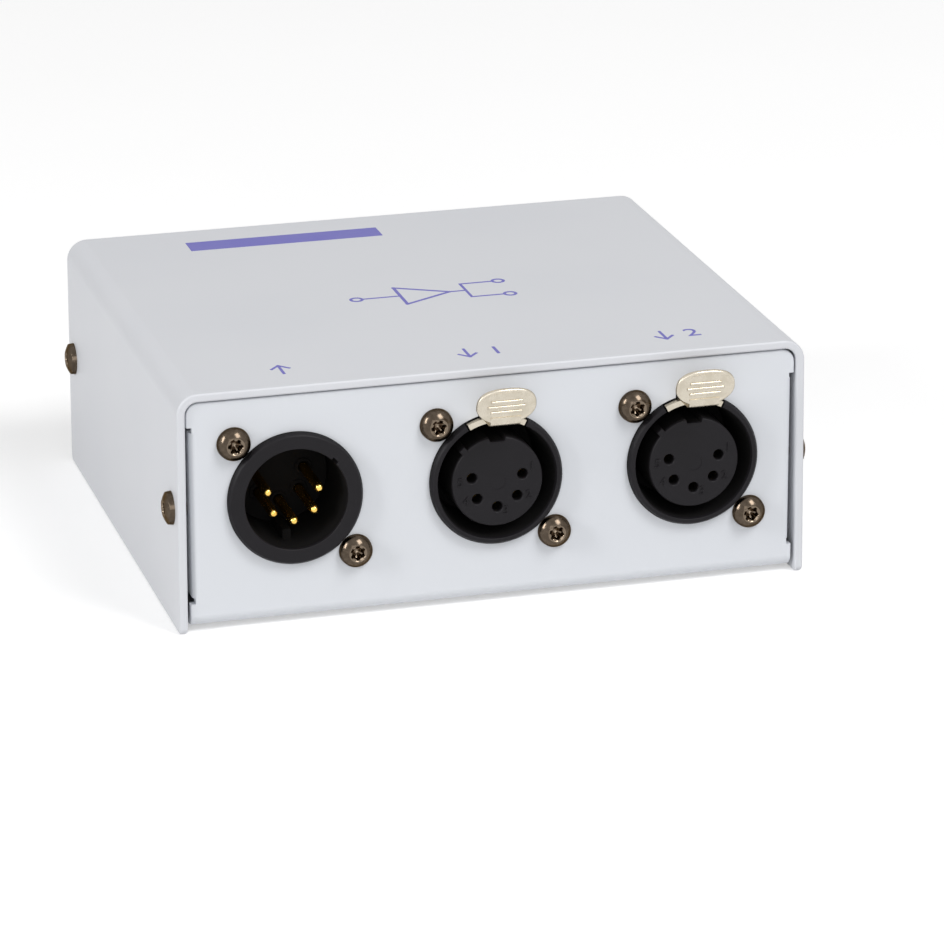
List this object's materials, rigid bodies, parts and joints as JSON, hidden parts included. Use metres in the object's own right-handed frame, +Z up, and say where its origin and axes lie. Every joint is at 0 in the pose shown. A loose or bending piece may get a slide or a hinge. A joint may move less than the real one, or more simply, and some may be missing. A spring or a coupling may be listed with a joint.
{
  "type": "stage lighting signal splitter",
  "caption": "Small folded steel box that splits a lighting control signal: round pin input, round socket outputs with push latches, mains inlet behind.",
  "frame": {"origin": "middle of the whole splitter's footprint, latches and screw heads included, at the level of the cover's lower edges", "axes": "+X to the right seen from the connector side, +Y from the connectors to the rear, +Z up"},
  "size_m": [0.1134, 0.1064, 0.0425],
  "materials": {
    "cover_paint": "white powder coat, fine orange peel, violet print on top",
    "chassis_paint": "white powder coat",
    "connector_black": "moulded black, satin",
    "screw_bronze": "dark bronze plating, polished",
    "latch_nickel": "satin nickel plating",
    "contact_gold": "gold plating, bright",
    "spring_steel": "drawn wire",
    "tin_plate": "tin plating",
    "board_laminate": "green solder mask",
    "potting": "blue potting case",
    "chip_moulding": "black moulding",
    "can_sleeve": "heat-shrunk sleeve",
    "fuse_glass": "clear tube with plated caps"
  },
  "bodies": {
    "case": {"top_cover": "cover_paint", "chassis": "chassis_paint", "cover_screw_left_front": "screw_bronze", "cover_screw_left_rear": "screw_bronze", "cover_screw_right_front": "screw_bronze", "cover_screw_right_rear": "screw_bronze", "input_shell": "connector_black", "input_insert": "connector_black", "input_pin_1": "contact_gold", "input_pin_2": "contact_gold", "input_pin_3": "contact_gold", "input_pin_4": "contact_gold", "input_pin_5": "contact_gold", "input_screw_upper": "screw_bronze", "input_screw_lower": "screw_bronze", "output_1_screw_upper": "screw_bronze", "output_1_screw_lower": "screw_bronze", "output_2_screw_upper": "screw_bronze", "output_2_screw_lower": "screw_bronze", "output_1_shell": "connector_black", "output_1_insert": "connector_black", "output_1_contact_1": "contact_gold", "output_1_contact_2": "contact_gold", "output_1_contact_3": "contact_gold", "output_1_contact_4": "contact_gold", "output_1_contact_5": "contact_gold", "output_1_latch_spring": "spring_steel", "output_2_shell": "connector_black", "output_2_insert": "connector_black", "output_2_contact_1": "contact_gold", "output_2_contact_2": "contact_gold", "output_2_contact_3": "contact_gold", "output_2_contact_4": "contact_gold", "output_2_contact_5": "contact_gold", "output_2_latch_spring": "spring_steel", "circuit_board": "board_laminate", "board_post_left": "tin_plate", "board_screw_left": "screw_bronze", "inlet_screw_left": "screw_bronze", "inlet_nut_left": "tin_plate", "board_post_right": "tin_plate", "board_screw_right": "screw_bronze", "inlet_screw_right": "screw_bronze", "inlet_nut_right": "tin_plate", "mains_inlet": "connector_black", "inlet_blade_live": "tin_plate", "inlet_blade_neutral": "tin_plate", "inlet_blade_earth": "tin_plate", "transformer": "potting", "fuse": "fuse_glass", "fuse_holder": "chip_moulding", "smoothing_capacitor": "can_sleeve", "voltage_regulator": "chip_moulding", "bridge_rectifier": "chip_moulding", "line_receiver": "chip_moulding", "signal_isolator": "chip_moulding", "line_driver_1": "chip_moulding", "line_driver_2": "chip_moulding"},
    "latch_1": {"output_1_latch": "latch_nickel"},
    "latch_2": {"output_2_latch": "latch_nickel"}
  },
  "joints": [
    {"name": "latch_1_press", "type": "hinge", "parent": "case", "child": "latch_1", "pos_m": [0, -0.02803, 0.03355], "axis": [-1, 0, 0], "range_deg": [0, 4], "stiffness_Nm_per_rad": 0.2},
    {"name": "latch_2_press", "type": "hinge", "parent": "case", "child": "latch_2", "pos_m": [0.035, -0.02803, 0.03355], "axis": [-1, 0, 0], "range_deg": [0, 4], "stiffness_Nm_per_rad": 0.2}
  ]
}
